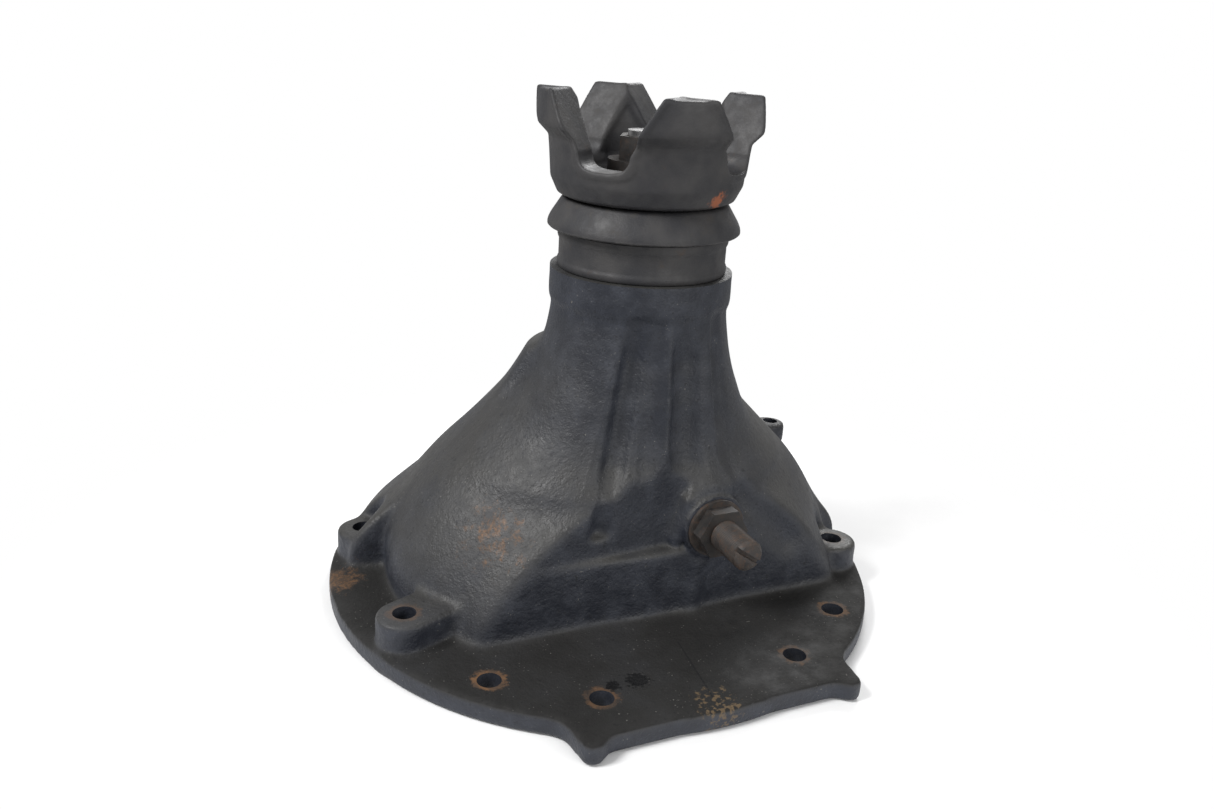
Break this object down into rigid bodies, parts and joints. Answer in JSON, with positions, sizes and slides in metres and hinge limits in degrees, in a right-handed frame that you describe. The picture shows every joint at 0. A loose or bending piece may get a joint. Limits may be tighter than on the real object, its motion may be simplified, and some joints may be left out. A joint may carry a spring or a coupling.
{
  "type": "differential carrier",
  "caption": "Heavy axle differential carrier: cast flanged housing with pinion neck and four-post yoke above, ring gear and bevel differential below.",
  "frame": {"origin": "centre of the flange's bolt circle on its mounting face", "axes": "+Z along the pinion towards the yoke, -Y along the axle towards the ring gear side, +X to the right of the ring gear side"},
  "size_m": [0.45, 0.4549, 0.598],
  "materials": {
    "housing_cast": "dark paint worn over a sand-cast surface",
    "yoke_steel": "matte dark grey, forged and turned",
    "band_steel": "dark paint over a turned surface",
    "rusty_steel": "lightly rusted machined steel",
    "nut_steel": "dark oxide with a film of rust",
    "bolt_steel": "black oxide",
    "bare_steel": "turned, lightly oiled",
    "bearing_steel": "ground",
    "gear_steel": "hardened, lightly oiled",
    "case_iron": "machined and as-cast iron",
    "shim_brass": "plain",
    "seal_rubber": "matte"
  },
  "bodies": {
    "carrier": {"carrier_housing": "housing_cast", "ring_side_bearing_cap": "housing_cast", "plain_side_bearing_cap": "housing_cast", "bearing_cap_bolts": "bolt_steel", "ring_side_adjuster": "bare_steel", "plain_side_adjuster": "bare_steel", "adjuster_locks": "bare_steel", "adjuster_lock_bolts": "bolt_steel", "ring_side_bearing_cup": "bearing_steel", "plain_side_bearing_cup": "bearing_steel", "inner_pinion_bearing_cup": "bearing_steel", "outer_pinion_bearing_cup": "bearing_steel", "pinion_depth_shim": "shim_brass", "pilot_bearing_outer_race": "bearing_steel", "seal_carrier": "band_steel", "pinion_oil_seal": "seal_rubber", "thrust_screw": "rusty_steel", "thrust_screw_nut": "nut_steel", "thrust_screw_washer": "rusty_steel", "thrust_pad": "shim_brass"},
    "pinion": {"drive_pinion": "gear_steel", "inner_pinion_bearing_cone": "bearing_steel", "outer_pinion_bearing_cone": "bearing_steel", "pinion_bearing_spacer": "bare_steel", "pilot_bearing_inner_race": "bearing_steel", "end_yoke": "yoke_steel", "dust_deflector": "yoke_steel", "pinion_nut": "nut_steel"},
    "inner_pinion_roller_set": {"inner_pinion_rollers": "bearing_steel", "inner_pinion_cage": "bare_steel"},
    "outer_pinion_roller_set": {"outer_pinion_rollers": "bearing_steel", "outer_pinion_cage": "bare_steel"},
    "pilot_roller_set": {"pilot_rollers": "bearing_steel"},
    "differential_case": {"ring_gear": "gear_steel", "ring_gear_bolts": "bolt_steel", "flange_case_half": "case_iron", "plain_case_half": "case_iron", "case_bolts": "bolt_steel", "spider_cross": "bare_steel", "spider_thrust_washers": "shim_brass", "side_gear_thrust_washers": "shim_brass", "ring_side_bearing_cone": "bearing_steel", "plain_side_bearing_cone": "bearing_steel"},
    "ring_side_output": {"ring_side_gear": "gear_steel"},
    "plain_side_output": {"plain_side_gear": "gear_steel"},
    "front_spider": {"spider_pinion_front": "gear_steel"},
    "top_spider": {"spider_pinion_top": "gear_steel"},
    "back_spider": {"spider_pinion_back": "gear_steel"},
    "bottom_spider": {"spider_pinion_bottom": "gear_steel"},
    "ring_side_roller_set": {"ring_side_rollers": "bearing_steel", "ring_side_cage": "bare_steel"},
    "plain_side_roller_set": {"plain_side_rollers": "bearing_steel", "plain_side_cage": "bare_steel"}
  },
  "joints": [
    {"name": "ring_spin", "type": "hinge", "parent": "carrier", "child": "differential_case", "pos_m": [0.014, -0.016, -0.045], "axis": [0, -1, 0], "continuous": true},
    {"name": "pinion_spin", "type": "hinge", "parent": "carrier", "child": "pinion", "pos_m": [0.014, -0.016, 0], "axis": [0, 0, 1], "continuous": true},
    {"name": "inner_pinion_rollers_spin", "type": "hinge", "parent": "carrier", "child": "inner_pinion_roller_set", "pos_m": [0.014, -0.016, 0], "axis": [0, 0, 1], "continuous": true},
    {"name": "outer_pinion_rollers_spin", "type": "hinge", "parent": "carrier", "child": "outer_pinion_roller_set", "pos_m": [0.014, -0.016, 0], "axis": [0, 0, 1], "continuous": true},
    {"name": "pilot_rollers_spin", "type": "hinge", "parent": "carrier", "child": "pilot_roller_set", "pos_m": [0.014, -0.016, 0], "axis": [0, 0, 1], "continuous": true},
    {"name": "ring_side_rollers_spin", "type": "hinge", "parent": "carrier", "child": "ring_side_roller_set", "pos_m": [0.014, -0.016, -0.045], "axis": [0, -1, 0], "continuous": true},
    {"name": "plain_side_rollers_spin", "type": "hinge", "parent": "carrier", "child": "plain_side_roller_set", "pos_m": [0.014, -0.016, -0.045], "axis": [0, -1, 0], "continuous": true},
    {"name": "ring_side_gear_spin", "type": "hinge", "parent": "differential_case", "child": "ring_side_output", "pos_m": [0.014, -0.016, -0.045], "axis": [0, -1, 0], "continuous": true},
    {"name": "plain_side_gear_spin", "type": "hinge", "parent": "differential_case", "child": "plain_side_output", "pos_m": [0.014, -0.016, -0.045], "axis": [0, -1, 0], "continuous": true},
    {"name": "front_spider_spin", "type": "hinge", "parent": "differential_case", "child": "front_spider", "pos_m": [0.014, -0.016, -0.045], "axis": [1, 0, 0], "continuous": true},
    {"name": "top_spider_spin", "type": "hinge", "parent": "differential_case", "child": "top_spider", "pos_m": [0.014, -0.016, -0.045], "axis": [0, 0, 1], "continuous": true},
    {"name": "back_spider_spin", "type": "hinge", "parent": "differential_case", "child": "back_spider", "pos_m": [0.014, -0.016, -0.045], "axis": [-1, 0, 0], "continuous": true},
    {"name": "bottom_spider_spin", "type": "hinge", "parent": "differential_case", "child": "bottom_spider", "pos_m": [0.014, -0.016, -0.045], "axis": [0, 0, -1], "continuous": true}
  ],
  "couplings": [
    {"joint": "pinion_spin", "follows": "ring_spin", "ratio": -3.3636},
    {"joint": "inner_pinion_rollers_spin", "follows": "ring_spin", "ratio": -1.4558},
    {"joint": "outer_pinion_rollers_spin", "follows": "ring_spin", "ratio": -1.4652},
    {"joint": "pilot_rollers_spin", "follows": "ring_spin", "ratio": -1.4436},
    {"joint": "ring_side_rollers_spin", "follows": "ring_spin", "ratio": 0.44742},
    {"joint": "plain_side_rollers_spin", "follows": "ring_spin", "ratio": 0.44742},
    {"joint": "plain_side_gear_spin", "follows": "ring_side_gear_spin", "ratio": -1},
    {"joint": "front_spider_spin", "follows": "ring_side_gear_spin", "ratio": -1.6},
    {"joint": "top_spider_spin", "follows": "ring_side_gear_spin", "ratio": -1.6},
    {"joint": "back_spider_spin", "follows": "ring_side_gear_spin", "ratio": -1.6},
    {"joint": "bottom_spider_spin", "follows": "ring_side_gear_spin", "ratio": -1.6}
  ]
}
